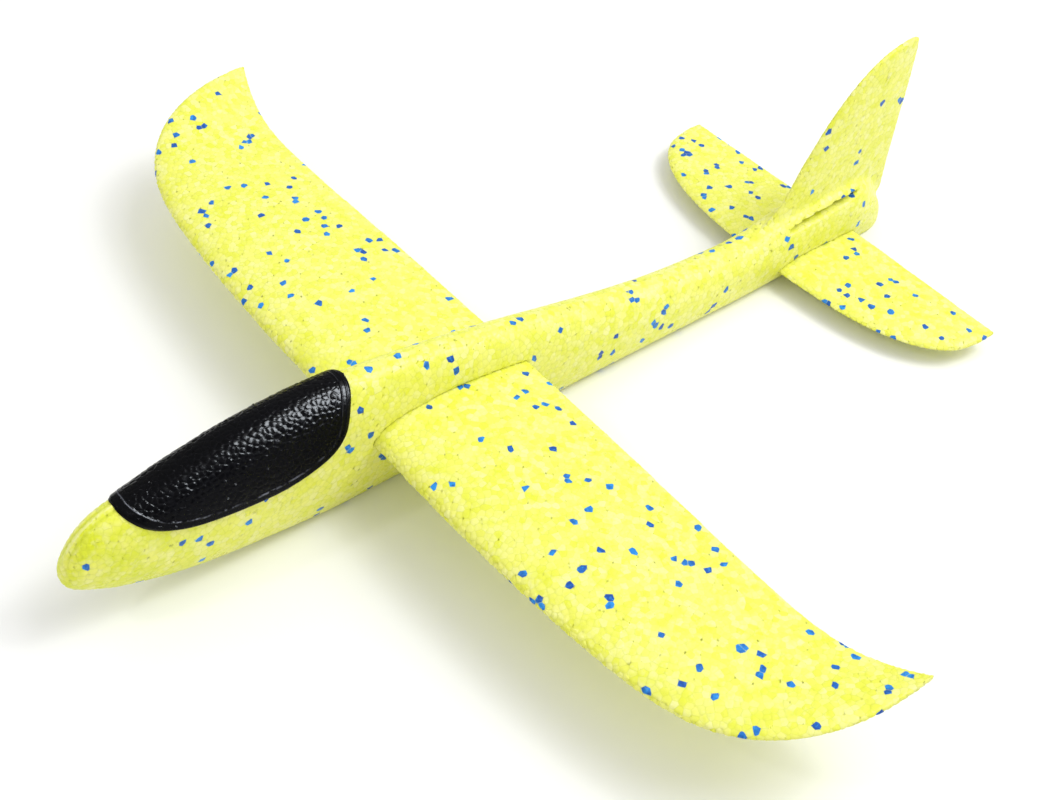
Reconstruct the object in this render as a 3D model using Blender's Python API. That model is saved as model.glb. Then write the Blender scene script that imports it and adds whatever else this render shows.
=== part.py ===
"""Bead-foam hand-launch glider: foam body with moulded-in fin, two push-in wing halves, one push-through
tailplane, a thin black cockpit cover and a steel slug in the nose under it.

Lengths below are in millimetres. X runs forward to the nose, Y to port, Z up. The shape is laid out from a
datum on the centre plane at the wing's trailing edge; DATUM puts that datum into the finished frame, where
the belly rests on Z = 0."""

import math

import bmesh
import bpy
from mathutils import Vector

MM = 0.001
DATUM = Vector((16.4, 0.0, 36.0))
GAP = 0.3

# Body stations, nose to tail: x, underside z, top z, half width, section power (2 is an ellipse).
BODY = [
    (221.8, -3.4, 0.2, 1.6, 2.0),
    (220.6, -6.4, 3.8, 4.2, 2.0),
    (217.5, -9.6, 9.2, 6.5, 2.05),
    (211.0, -13.6, 16.4, 8.8, 2.1),
    (203.0, -17.8, 21.2, 10.5, 2.15),
    (194.0, -21.0, 23.6, 11.6, 2.2),
    (180.0, -25.6, 26.0, 12.7, 2.25),
    (163.0, -29.4, 29.2, 13.5, 2.3),
    (145.0, -32.2, 32.4, 14.0, 2.3),
    (124.0, -34.8, 34.3, 14.1, 2.3),
    (104.0, -37.0, 34.6, 14.0, 2.3),
    (84.0, -37.4, 33.0, 13.7, 2.3),
    (60.0, -37.4, 30.0, 13.4, 2.3),
    (34.0, -37.4, 25.6, 13.2, 2.3),
    (8.0, -37.4, 20.2, 13.0, 2.3),
    (-18.0, -37.4, 14.4, 12.8, 2.25),
    (-50.0, -37.4, 7.2, 12.6, 2.2),
    (-86.0, -37.4, 0.4, 12.4, 2.2),
    (-118.0, -37.4, -3.2, 12.3, 2.25),
    (-148.0, -37.4, -4.6, 12.2, 2.35),
    (-176.0, -37.4, 0.4, 12.0, 2.4),
    (-205.0, -37.4, 3.2, 12.0, 2.4),
    (-225.0, -38.4, 2.8, 11.4, 2.35),
    (-236.0, -40.0, -2.6, 9.9, 2.3),
    (-244.0, -42.0, -11.4, 7.8, 2.25),
    (-250.0, -42.0, -19.6, 5.2, 2.2),
    (-254.6, -40.0, -27.0, 2.0, 2.0),
]
BODY_RING = 40
BODY_STEPS = 56
BELLY_Z = -36.0

# Fin levels, bottom to top: z, leading edge x, trailing edge x, thickness.
FIN = [
    (-22.0, -158.0, -246.0, 5.0),
    (-13.0, -150.0, -251.2, 7.0),
    (-8.0, -151.0, -251.2, 7.0),
    (-2.0, -161.0, -251.0, 6.9),
    (5.0, -169.5, -250.9, 6.8),
    (14.0, -175.5, -251.0, 6.6),
    (24.0, -180.6, -251.2, 6.3),
    (36.0, -187.8, -251.6, 5.9),
    (48.0, -196.0, -252.0, 5.4),
    (58.0, -204.6, -252.0, 4.9),
    (66.0, -213.6, -251.8, 4.4),
    (72.0, -222.8, -251.8, 3.9),
    (76.0, -233.0, -251.2, 3.4),
    (78.2, -245.0, -250.6, 2.8),
]
FIN_TRAILING_EDGE = 2.6

# Wing stations, root to tip: span station y, trailing edge x, leading edge x, height, thickness.
WING = [
    (0.0, 0.2, 84.6, 0.0, 10.6),
    (14.0, 0.2, 84.6, 0.0, 10.6),
    (30.0, 0.6, 84.9, 0.4, 10.4),
    (60.0, 1.3, 85.4, 1.2, 10.1),
    (90.0, 2.0, 84.8, 1.6, 9.7),
    (120.0, 2.7, 83.2, 1.6, 9.2),
    (150.0, 3.3, 80.6, 1.5, 8.5),
    (175.0, 3.4, 77.0, 1.7, 7.7),
    (195.0, 2.8, 71.6, 2.7, 6.8),
    (210.0, 1.3, 64.2, 5.1, 5.9),
    (221.0, -0.9, 55.0, 8.2, 5.1),
    (229.0, -3.1, 44.6, 11.0, 4.4),
    (235.0, -5.2, 32.0, 13.5, 3.8),
    (238.6, -6.5, 18.0, 15.3, 3.3),
    (240.0, -7.0, 2.0, 16.2, 2.9),
]
WING_TRAILING_EDGE = 3.0
WING_UNDER = 0.12
WING_RING = 26
WING_STEPS = 34
TONGUE = 9.0
TONGUE_SPLIT_X = 42.0

# Tailplane stations, centre to tip: y, trailing edge x, leading edge x, height, thickness.
TAIL = [
    (0.0, -223.4, -166.6, -26.4, 4.8),
    (14.0, -223.4, -166.6, -26.4, 4.8),
    (30.0, -223.2, -167.6, -26.4, 4.7),
    (50.0, -222.8, -169.6, -26.4, 4.6),
    (70.0, -222.5, -173.8, -26.4, 4.4),
    (84.0, -222.2, -179.2, -26.4, 4.1),
    (94.0, -222.1, -185.4, -26.4, 3.8),
    (101.0, -222.0, -192.4, -26.4, 3.4),
    (105.2, -221.9, -200.0, -26.4, 3.0),
    (107.2, -221.9, -211.0, -26.4, 2.6),
]
TAIL_TRAILING_EDGE = 2.2
TAIL_UNDER = 0.1
TAIL_RING = 24
TAIL_STEPS = 16

# The spare slot above the tailplane: a slit as long as the tailplane's root, nose down, that the foam opens to
# full thickness when the tailplane is pushed in.
SPARE_SLOT_LEADING_EDGE = (-172.0, -5.4)
SPARE_SLOT_TILT = math.radians(4.0)
SPARE_SLOT_THICKNESS = 2.6
SPARE_SLOT_TRAILING_EDGE = 1.2

# Cockpit cover: edge height on the body's side against x, rear to front.
COVER_EDGE = [
    (89.6, 34.6),
    (90.8, 31.4),
    (93.6, 25.4),
    (98.6, 14.4),
    (107.6, 7.4),
    (126.0, 3.0),
    (143.5, 3.2),
    (165.7, 5.6),
    (180.0, 9.6),
    (187.6, 14.0),
    (193.0, 19.2),
    (195.6, 22.8),
]
COVER_THICKNESS = 1.6
COVER_FRONT_THICKNESS = 0.7
COVER_TAPER = 24.0
COVER_RING = 22
COVER_STEPS = 28

# Steel slug, upright in a blind bore that the cover closes.
SLUG_X = 172.0
SLUG_RADIUS = 5.0
SLUG_BOTTOM_Z = 1.0
SLUG_LENGTH = 22.0


def clear_scene():
    for obj in list(bpy.data.objects):
        bpy.data.objects.remove(obj, do_unlink=True)


def make_collection(name):
    collection = bpy.data.collections.new(name)
    bpy.context.scene.collection.children.link(collection)
    return collection


def make_material(name, colour, roughness, metallic):
    material = bpy.data.materials.new(name)
    material.use_nodes = True
    shader = material.node_tree.nodes["Principled BSDF"]
    shader.inputs["Base Color"].default_value = (*colour, 1.0)
    shader.inputs["Roughness"].default_value = roughness
    shader.inputs["Metallic"].default_value = metallic
    return material


def smooth_rows(rows, steps):
    """The rows of a station table, resampled with a cubic through all of them, closer together near both ends."""
    keys = [0.0]
    for first, second in zip(rows, rows[1:]):
        keys.append(keys[-1] + math.hypot(second[0] - first[0], second[1] - first[1]) ** 0.5)

    def slope(i, column):
        low = max(i - 1, 0)
        high = min(i + 1, len(rows) - 1)
        return (rows[high][column] - rows[low][column]) / (keys[high] - keys[low])

    result = []
    for step in range(steps + 1):
        key = keys[-1] * step / steps
        i = min(max(n for n in range(len(keys)) if keys[n] <= key + 1e-9), len(rows) - 2)
        width = keys[i + 1] - keys[i]
        u = (key - keys[i]) / width
        row = []
        for column in range(len(rows[0])):
            a = rows[i][column]
            b = rows[i + 1][column]
            ta = slope(i, column) * width
            tb = slope(i + 1, column) * width
            row.append(
                (2 * u**3 - 3 * u**2 + 1) * a
                + (u**3 - 2 * u**2 + u) * ta
                + (3 * u**2 - 2 * u**3) * b
                + (u**3 - u**2) * tb
            )
        result.append(row)
    return result


def superellipse(angle, power):
    c = math.cos(angle)
    s = math.sin(angle)
    return (
        math.copysign(abs(c) ** (2.0 / power), c),
        math.copysign(abs(s) ** (2.0 / power), s),
    )


def body_point(row, angle, offset=0.0):
    x, low, high, half_width, power = row
    across, up = superellipse(angle, power)
    y = (half_width + offset) * across
    z = (low + high) / 2 + ((high - low) / 2 + offset) * up
    return Vector((x, y, max(z, BELLY_Z)))


def aerofoil(chord, thickness, trailing_edge, under, count):
    """A closed section, trailing edge at 0 and leading edge at the chord, as (x, z) pairs round the outline.
    The share under of the thickness lies below z = 0."""
    half = count // 2
    outline = []
    for side, share in ((1, 1.0 - under), (-1, under)):
        for i in range(half):
            s = (1 + math.cos(math.pi * i / half)) / 2
            if side < 0:
                s = 1 - s
            bulge = 2.969 * math.sqrt(s) - 1.26 * s - 3.516 * s**2 + 2.843 * s**3 - 1.036 * s**4
            full = (thickness - 0.4 * trailing_edge) * bulge + trailing_edge * s
            outline.append((chord * (1 - s), side * share * full))
    return outline


def loft(name, rings, centre=Vector((0, 0, 0))):
    """A closed mesh through rings of equal length, with both ends capped."""
    mesh = bmesh.new()
    rows = [[mesh.verts.new((point - centre) * MM) for point in ring] for ring in rings]
    count = len(rings[0])
    for lower, upper in zip(rows, rows[1:]):
        for i in range(count):
            j = (i + 1) % count
            mesh.faces.new((lower[i], lower[j], upper[j], upper[i]))
    mesh.faces.new(list(reversed(rows[0])))
    mesh.faces.new(rows[-1])
    return finish(mesh, name, centre)


def finish(mesh, name, centre):
    bmesh.ops.remove_doubles(mesh, verts=mesh.verts, dist=1e-6)
    bmesh.ops.recalc_face_normals(mesh, faces=mesh.faces)
    data = bpy.data.meshes.new(name)
    mesh.to_mesh(data)
    mesh.free()
    obj = bpy.data.objects.new(name, data)
    obj.location = (centre + DATUM) * MM
    return obj


def place(obj, collection, material=None):
    collection.objects.link(obj)
    if material:
        obj.data.materials.append(material)
        for polygon in obj.data.polygons:
            polygon.use_smooth = True
        obj.data.set_sharp_from_angle(angle=math.radians(40))
    else:
        obj.hide_render = True
        obj.display_type = "WIRE"
    return obj


def combine(obj, other, operation):
    modifier = obj.modifiers.new(other.name, "BOOLEAN")
    modifier.operation = operation
    modifier.solver = "EXACT"
    modifier.object = other


def box(name, low, high):
    mesh = bmesh.new()
    bmesh.ops.create_cube(mesh, size=1.0)
    low = Vector(low)
    high = Vector(high)
    middle = (low + high) / 2
    for vert in mesh.verts:
        vert.co = Vector(a * b for a, b in zip(vert.co, high - low)) * MM
    return finish(mesh, name, middle)


def drum(name, radius, low, length, x, chamfer=0.0):
    mesh = bmesh.new()
    bmesh.ops.create_cone(
        mesh,
        cap_ends=True,
        segments=28,
        radius1=radius * MM,
        radius2=radius * MM,
        depth=length * MM,
    )
    if chamfer:
        edges = [
            edge
            for edge in mesh.edges
            if abs(edge.verts[0].co.z - edge.verts[1].co.z) < 1e-6
        ]
        bmesh.ops.bevel(mesh, geom=edges, offset=chamfer * MM, segments=2, affect="EDGES")
    return finish(mesh, name, Vector((x, 0, low + length / 2)))


def body_loft():
    rows = smooth_rows(BODY, BODY_STEPS)
    rings = []
    for row in rows:
        angles = [2 * math.pi * (i + 0.5) / BODY_RING for i in range(BODY_RING)]
        rings.append([body_point(row, angle) for angle in angles])
    return loft("fuselage", rings)


def fin_loft():
    rings = []
    for z, front, back, thickness in smooth_rows(FIN, 22):
        outline = aerofoil(front - back, thickness, FIN_TRAILING_EDGE, 0.5, 20)
        rings.append([Vector((back + x, y, z)) for x, y in outline])
    return loft("fin_blank", rings)


def wing_ring(row, side):
    y, back, front, height, thickness = row
    outline = aerofoil(front - back, thickness, WING_TRAILING_EDGE, WING_UNDER, WING_RING)
    return [Vector((back + x, side * y, height + z)) for x, z in outline]


def wing_loft(name, side):
    """One wing half. Its root stops short of the other half's tongue and carries its own tongue across."""
    root = (-TONGUE, *WING[0][1:])
    rings = [wing_ring(root, side)]
    rings.extend(wing_ring(row, side) for row in smooth_rows(WING, WING_STEPS)[1:])
    return loft(name, rings, Vector((0, side * 14.0, 0)))


def slot_cutter(name, outline, angle=0.0, pivot=(0.0, 0.0)):
    """A prism across the body, round a section grown by the assembly gap."""
    centre = Vector((sum(x for x, _ in outline), sum(z for _, z in outline))) / len(outline)
    grown = []
    count = len(outline)
    for i in range(count):
        before = Vector(outline[i - 1])
        after = Vector(outline[(i + 1) % count])
        along = after - before
        normal = Vector((along.y, -along.x)).normalized()
        if normal.dot(Vector(outline[i]) - centre) < 0:
            normal.negate()
        grown.append(Vector(outline[i]) + normal * GAP)
    turned = []
    for point in grown:
        dx = point.x - pivot[0]
        dz = point.y - pivot[1]
        turned.append(
            (
                pivot[0] + dx * math.cos(angle) - dz * math.sin(angle),
                pivot[1] + dx * math.sin(angle) + dz * math.cos(angle),
            )
        )
    rings = [[Vector((x, y, z)) for x, z in turned] for y in (-30.0, 30.0)]
    return loft(name, rings)


def tail_outline():
    _, back, front, height, thickness = TAIL[0]
    outline = aerofoil(front - back, thickness, TAIL_TRAILING_EDGE, TAIL_UNDER, TAIL_RING)
    return [(back + x, height + z) for x, z in outline]


def spare_outline():
    chord = TAIL[0][2] - TAIL[0][1]
    front_x, front_z = SPARE_SLOT_LEADING_EDGE
    outline = aerofoil(chord, SPARE_SLOT_THICKNESS, SPARE_SLOT_TRAILING_EDGE, TAIL_UNDER, TAIL_RING)
    return [(front_x - chord + x, front_z + z) for x, z in outline]


def tailplane_loft():
    rows = smooth_rows(TAIL, TAIL_STEPS)
    rings = []
    for side, part in ((-1, reversed(rows)), (1, rows[1:])):
        for y, back, front, height, thickness in part:
            outline = aerofoil(front - back, thickness, TAIL_TRAILING_EDGE, TAIL_UNDER, TAIL_RING)
            rings.append([Vector((back + x, side * y, height + z)) for x, z in outline])
    return loft("tailplane", rings, Vector((-195, 0, -25)))


def edge_angle(row, height, offset):
    """The section angle at which the body's side is this high."""
    low = 0.0
    high = math.pi / 2
    for _ in range(50):
        middle = (low + high) / 2
        if body_point(row, middle, offset).z < height:
            low = middle
        else:
            high = middle
    return (low + high) / 2


def cover_thickness(x):
    """The cover thins smoothly towards its front end."""
    share = min(1.0, (COVER_EDGE[-1][0] - x) / COVER_TAPER)
    share = share * share * (3 - 2 * share)
    return COVER_FRONT_THICKNESS + (COVER_THICKNESS - COVER_FRONT_THICKNESS) * share


def cover_skin(mesh, outer):
    """The inner or the outer sheet of the cover, along the body's top inside the cover's outline."""
    body_rows = smooth_rows(BODY, 400)
    skin = []
    for x, height in smooth_rows(COVER_EDGE, COVER_STEPS):
        row = min(body_rows, key=lambda candidate: abs(candidate[0] - x))
        row = [x] + row[1:]
        offset = GAP + (cover_thickness(x) if outer else 0.0)
        start = edge_angle(row, height, 0.0)
        angles = [start + (math.pi - 2 * start) * i / COVER_RING for i in range(COVER_RING + 1)]
        skin.append([mesh.verts.new(body_point(row, angle, offset) * MM) for angle in angles])
    return skin


def cover_shell():
    """The cockpit cover: a shell that follows the body's top."""
    mesh = bmesh.new()
    inner = cover_skin(mesh, False)
    outer = cover_skin(mesh, True)
    for skin in (inner, outer):
        for lower, upper in zip(skin, skin[1:]):
            for i in range(COVER_RING):
                mesh.faces.new((lower[i], lower[i + 1], upper[i + 1], upper[i]))
    for i in range(COVER_RING):
        mesh.faces.new((inner[0][i], inner[0][i + 1], outer[0][i + 1], outer[0][i]))
        mesh.faces.new((inner[-1][i], inner[-1][i + 1], outer[-1][i + 1], outer[-1][i]))
    for k in range(COVER_STEPS):
        for i in (0, COVER_RING):
            mesh.faces.new((inner[k][i], inner[k + 1][i], outer[k + 1][i], outer[k][i]))
    return finish(mesh, "canopy_cover", Vector((0, 0, 0)))


def build():
    clear_scene()
    parts = make_collection("foam_glider")
    cutters = make_collection("cutters")

    foam = (0.86, 0.88, 0.16)
    body = place(body_loft(), parts, make_material("foam_body", foam, 0.55, 0.0))
    combine(body, place(fin_loft(), cutters), "UNION")
    wing_section = [(p.x, p.z) for p in wing_ring(WING[0], 1)]
    combine(body, place(slot_cutter("wing_slot", wing_section), cutters), "DIFFERENCE")
    tail_section = tail_outline()
    combine(body, place(slot_cutter("tail_slot", tail_section), cutters), "DIFFERENCE")
    cutter = slot_cutter("spare_tail_slot", spare_outline(), -SPARE_SLOT_TILT, SPARE_SLOT_LEADING_EDGE)
    combine(body, place(cutter, cutters), "DIFFERENCE")
    bore = drum("slug_bore", SLUG_RADIUS + GAP, SLUG_BOTTOM_Z - GAP, 60.0, SLUG_X)
    combine(body, place(bore, cutters), "DIFFERENCE")

    left = place(wing_loft("wing_left", 1), parts, make_material("foam_wing_left", foam, 0.55, 0.0))
    notch = box("left_notch", (-20, -30, -20), (TONGUE_SPLIT_X + GAP / 2, TONGUE + GAP, 30))
    combine(left, place(notch, cutters), "DIFFERENCE")
    right = place(wing_loft("wing_right", -1), parts, make_material("foam_wing_right", foam, 0.55, 0.0))
    notch = box("right_notch", (TONGUE_SPLIT_X - GAP / 2, -TONGUE - GAP, -20), (100, 30, 30))
    combine(right, place(notch, cutters), "DIFFERENCE")

    place(tailplane_loft(), parts, make_material("foam_tailplane", foam, 0.55, 0.0))
    place(cover_shell(), parts, make_material("black_cover", (0.012, 0.012, 0.014), 0.25, 0.0))
    slug = drum("nose_weight", SLUG_RADIUS, SLUG_BOTTOM_Z, SLUG_LENGTH, SLUG_X, 0.6)
    place(slug, parts, make_material("steel", (0.55, 0.55, 0.57), 0.35, 1.0))


build()
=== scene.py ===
"""Bead-foam hand-launch glider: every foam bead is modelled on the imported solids' own shape.

Lengths in the tables are millimetres from a datum on the centre plane at the wing's trailing
edge, as in the CAD source. X runs forward, Y to port, Z up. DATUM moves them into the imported
frame."""

import math

import bmesh
import bpy
import numpy as np
from mathutils import Matrix, Vector, kdtree


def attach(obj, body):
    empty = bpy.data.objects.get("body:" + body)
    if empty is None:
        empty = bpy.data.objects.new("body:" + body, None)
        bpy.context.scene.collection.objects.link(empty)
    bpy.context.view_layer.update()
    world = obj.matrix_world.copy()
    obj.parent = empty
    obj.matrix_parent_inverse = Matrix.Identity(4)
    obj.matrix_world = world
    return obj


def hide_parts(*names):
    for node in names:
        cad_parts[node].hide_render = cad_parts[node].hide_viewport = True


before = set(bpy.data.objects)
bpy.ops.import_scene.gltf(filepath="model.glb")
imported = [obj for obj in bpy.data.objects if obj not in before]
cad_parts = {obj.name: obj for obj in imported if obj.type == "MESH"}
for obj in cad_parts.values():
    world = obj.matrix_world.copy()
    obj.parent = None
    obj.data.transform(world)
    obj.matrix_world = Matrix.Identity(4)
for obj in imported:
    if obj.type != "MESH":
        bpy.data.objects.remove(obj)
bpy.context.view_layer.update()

MM = 0.001
DATUM = np.array((16.4, 0.0, 36.0))
GAP = 0.3

# Body stations, nose to tail: x, underside z, top z, half width, section power.
BODY = [
    (221.8, -3.4, 0.2, 1.6, 2.0),
    (220.6, -6.4, 3.8, 4.2, 2.0),
    (217.5, -9.6, 9.2, 6.5, 2.05),
    (211.0, -13.6, 16.4, 8.8, 2.1),
    (203.0, -17.8, 21.2, 10.5, 2.15),
    (194.0, -21.0, 23.6, 11.6, 2.2),
    (180.0, -25.6, 26.0, 12.7, 2.25),
    (163.0, -29.4, 29.2, 13.5, 2.3),
    (145.0, -32.2, 32.4, 14.0, 2.3),
    (124.0, -34.8, 34.3, 14.1, 2.3),
    (104.0, -37.0, 34.6, 14.0, 2.3),
    (84.0, -37.4, 33.0, 13.7, 2.3),
    (60.0, -37.4, 30.0, 13.4, 2.3),
    (34.0, -37.4, 25.6, 13.2, 2.3),
    (8.0, -37.4, 20.2, 13.0, 2.3),
    (-18.0, -37.4, 14.4, 12.8, 2.25),
    (-50.0, -37.4, 7.2, 12.6, 2.2),
    (-86.0, -37.4, 0.4, 12.4, 2.2),
    (-118.0, -37.4, -3.2, 12.3, 2.25),
    (-148.0, -37.4, -4.6, 12.2, 2.35),
    (-176.0, -37.4, 0.4, 12.0, 2.4),
    (-205.0, -37.4, 3.2, 12.0, 2.4),
    (-225.0, -38.4, 2.8, 11.4, 2.35),
    (-236.0, -40.0, -2.6, 9.9, 2.3),
    (-244.0, -42.0, -11.4, 7.8, 2.25),
    (-250.0, -42.0, -19.6, 5.2, 2.2),
    (-254.6, -40.0, -27.0, 2.0, 2.0),
]
BELLY_Z = -36.0

# Fin levels: z, leading edge x, trailing edge x, thickness.
FIN = [
    (-22.0, -158.0, -246.0, 5.0),
    (-13.0, -150.0, -251.2, 7.0),
    (-8.0, -151.0, -251.2, 7.0),
    (-2.0, -161.0, -251.0, 6.9),
    (5.0, -169.5, -250.9, 6.8),
    (14.0, -175.5, -251.0, 6.6),
    (24.0, -180.6, -251.2, 6.3),
    (36.0, -187.8, -251.6, 5.9),
    (48.0, -196.0, -252.0, 5.4),
    (58.0, -204.6, -252.0, 4.9),
    (66.0, -213.6, -251.8, 4.4),
    (72.0, -222.8, -251.8, 3.9),
    (76.0, -233.0, -251.2, 3.4),
    (78.2, -245.0, -250.6, 2.8),
]
FIN_TRAILING_EDGE = 2.6

# Wing stations, root to tip: span station y, trailing edge x, leading edge x, height, thickness.
WING = [
    (0.0, 0.2, 84.6, 0.0, 10.6),
    (14.0, 0.2, 84.6, 0.0, 10.6),
    (30.0, 0.6, 84.9, 0.4, 10.4),
    (60.0, 1.3, 85.4, 1.2, 10.1),
    (90.0, 2.0, 84.8, 1.6, 9.7),
    (120.0, 2.7, 83.2, 1.6, 9.2),
    (150.0, 3.3, 80.6, 1.5, 8.5),
    (175.0, 3.4, 77.0, 1.7, 7.7),
    (195.0, 2.8, 71.6, 2.7, 6.8),
    (210.0, 1.3, 64.2, 5.1, 5.9),
    (221.0, -0.9, 55.0, 8.2, 5.1),
    (229.0, -3.1, 44.6, 11.0, 4.4),
    (235.0, -5.2, 32.0, 13.5, 3.8),
    (238.6, -6.5, 18.0, 15.3, 3.3),
    (240.0, -7.0, 2.0, 16.2, 2.9),
]
WING_TRAILING_EDGE = 3.0
WING_UNDER = 0.12
TONGUE = 9.0
TONGUE_SPLIT_X = 42.0

# Tailplane stations, centre to tip: y, trailing edge x, leading edge x, height, thickness.
TAIL = [
    (0.0, -223.4, -166.6, -26.4, 4.8),
    (14.0, -223.4, -166.6, -26.4, 4.8),
    (30.0, -223.2, -167.6, -26.4, 4.7),
    (50.0, -222.8, -169.6, -26.4, 4.6),
    (70.0, -222.5, -173.8, -26.4, 4.4),
    (84.0, -222.2, -179.2, -26.4, 4.1),
    (94.0, -222.1, -185.4, -26.4, 3.8),
    (101.0, -222.0, -192.4, -26.4, 3.4),
    (105.2, -221.9, -200.0, -26.4, 3.0),
    (107.2, -221.9, -211.0, -26.4, 2.6),
]
TAIL_TRAILING_EDGE = 2.2
TAIL_UNDER = 0.1

# The open slit above the tailplane.
SPARE_SLOT_LEADING_EDGE = (-172.0, -5.4)
SPARE_SLOT_TILT = math.radians(4.0)
SPARE_SLOT_THICKNESS = 2.6
SPARE_SLOT_TRAILING_EDGE = 1.2
SPARE_SLOT_LENGTH = 62.0

# Cockpit cover: edge height on the body's side against x, rear to front.
COVER_EDGE = [
    (89.6, 34.6),
    (90.8, 31.4),
    (93.6, 25.4),
    (98.6, 14.4),
    (107.6, 7.4),
    (126.0, 3.0),
    (143.5, 3.2),
    (165.7, 5.6),
    (180.0, 9.6),
    (187.6, 14.0),
    (193.0, 19.2),
    (195.6, 22.8),
]
COVER_THICKNESS = 1.6
COVER_FRONT_THICKNESS = 0.7
COVER_TAPER = 24.0

# Relief on the cover: the print of the beads, the line inside its rim, and its rounded edge.
COVER_BEAD_SPACING = 2.2
COVER_TILT = 0.07
COVER_DOME_WIDTH = 1.1
COVER_DOME_DEPTH = 0.09
COVER_GROOVE_WIDTH = 0.32
COVER_GROOVE_DEPTH = 0.11
RIM_PRINT_SHARE = 0.12
RIM_LINE = 4.3
RIM_HEIGHT = 0.17
RIM_WIDTH = 0.24
RIM_DIP = 0.10
REAR_LINE_HEIGHT = 0.16
EDGE_ROUND_DEPTH = 0.85
EDGE_ROUND_WIDTH = 1.4

# The slug's bore, under the cover.
SLUG_X = 172.0
SLUG_RADIUS = 5.0
SLUG_BOTTOM_Z = 1.0
BORE_DEPTH = 60.0

# Foam beads: how far apart they are, how round and how uneven.
BEAD_SPACING = 2.4
BEAD_TILT = 0.045
BEAD_RISE = 0.026
BEAD_DOME_WIDTH = 1.25
BEAD_DOME_DEPTH = 0.06
LOOSE_DOME_DEPTH = 0.31
GROOVE_WIDTH = 0.42
GROOVE_DEPTH = 0.08
PIT_SHARE = 0.005
PIT_DEPTH = 0.16

# The share of blue beads, by piece, and of those with a blue neighbour.
BLUE_SHARE = 0.027
BODY_BLUE_SHARE = 0.022
TAIL_BLUE_SHARE = 0.042
BLUE_PAIR_SHARE = 0.10

# What each piece's random draws start from.
SEEDS = {"fuselage": 11, "wing_left": 23, "wing_right": 37, "tailplane": 41, "cover": 5}

# The cells of the even meshes, which the beads are cut from.
BODY_VOXEL = 0.84
WING_VOXEL = 0.69
TAIL_VOXEL = 0.62

# The foam closes round the wings and the tailplane more tightly than the solids' assembly gap.
SLOT_GAP = 0.12
CUTTER_REACH = 30.0

# The mould's parting line: its ridge, the dip beside it, and how strong it is behind the cover.
SEAM_HEIGHT = 0.42
SEAM_DIP = 0.7 * SEAM_HEIGHT
SPINE_SEAM_SHARE = 0.35


# ---------------------------------------------------------------- sections and lofts


def smooth_rows(rows, steps):
    """A station table resampled with a cubic through all its rows, denser where they are."""
    rows = np.array(rows, float)
    gaps = np.hypot(*(rows[1:, :2] - rows[:-1, :2]).T) ** 0.5
    keys = np.concatenate([[0.0], np.cumsum(gaps)])
    last = len(rows) - 1
    low = np.maximum(np.arange(last + 1) - 1, 0)
    high = np.minimum(np.arange(last + 1) + 1, last)
    slopes = (rows[high] - rows[low]) / (keys[high] - keys[low])[:, None]
    at = keys[-1] * np.arange(steps + 1) / steps
    i = np.clip(np.searchsorted(keys, at + 1e-9, side="right") - 1, 0, last - 1)
    width = (keys[i + 1] - keys[i])[:, None]
    u = (at - keys[i])[:, None] / width
    return (
        (2 * u**3 - 3 * u**2 + 1) * rows[i]
        + (u**3 - 2 * u**2 + u) * slopes[i] * width
        + (3 * u**2 - 2 * u**3) * rows[i + 1]
        + (u**3 - u**2) * slopes[i + 1] * width
    )


def body_points(rows, angles, offset=0.0):
    """Points on the body's section, one for each row and angle (the two broadcast)."""
    x, low, high, half_width, power = np.moveaxis(np.asarray(rows, float), -1, 0)
    c, s = np.cos(angles), np.sin(angles)
    across = np.sign(c) * np.abs(c) ** (2.0 / power)
    up = np.sign(s) * np.abs(s) ** (2.0 / power)
    y = (half_width + offset) * across
    z = (low + high) / 2 + ((high - low) / 2 + offset) * up
    return np.stack(np.broadcast_arrays(x, y, np.maximum(z, BELLY_Z)), axis=-1)


def aerofoil(chord, thickness, trailing_edge, under, count):
    """A closed section as (x, z) rows: trailing edge at 0, leading edge at the chord.

    under is the share of the thickness that lies below the chord line."""
    half = count // 2
    s = (1 + np.cos(math.pi * np.arange(half) / half)) / 2
    outline = []
    for side, share, at in ((1, 1.0 - under, s), (-1, under, 1 - s)):
        bulge = 2.969 * np.sqrt(at) - 1.26 * at - 3.516 * at**2 + 2.843 * at**3 - 1.036 * at**4
        full = (thickness - 0.4 * trailing_edge) * bulge + trailing_edge * at
        outline.append(np.stack([chord * (1 - at), side * share * full], axis=1))
    return np.concatenate(outline)


def mesh_object(name, points, faces):
    """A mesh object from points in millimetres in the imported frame."""
    data = bpy.data.meshes.new(name)
    data.from_pydata((np.asarray(points) * MM).tolist(), [], faces)
    data.update()
    obj = bpy.data.objects.new(name, data)
    bpy.context.scene.collection.objects.link(obj)
    return obj


def loft(name, rings):
    """A closed mesh through rings of equal length, both ends capped, facing out."""
    rings = np.asarray(rings, float) + DATUM
    steps, count = rings.shape[:2]
    i = np.arange(count)
    j = (i + 1) % count
    faces = []
    for k in range(steps - 1):
        a = k * count
        b = a + count
        faces.extend(np.stack([a + i, a + j, b + j, b + i], axis=1).tolist())
    faces.append(list(range(count))[::-1])
    faces.append(list(range((steps - 1) * count, steps * count)))
    obj = mesh_object(name, rings.reshape(-1, 3), faces)
    mesh = bmesh.new()
    mesh.from_mesh(obj.data)
    bmesh.ops.remove_doubles(mesh, verts=mesh.verts, dist=1e-6)
    bmesh.ops.recalc_face_normals(mesh, faces=mesh.faces)
    mesh.to_mesh(obj.data)
    mesh.free()
    return obj


def section_rings(rows, side, trailing_edge, under, count):
    """One aerofoil ring for each row of a wing's or tailplane's table, on one side."""
    rings = []
    for y, back, front, height, thickness in rows:
        outline = aerofoil(front - back, thickness, trailing_edge, under, count)
        across = np.full(len(outline), side * y)
        rings.append(np.stack([back + outline[:, 0], across, height + outline[:, 1]], axis=1))
    return rings


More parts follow.
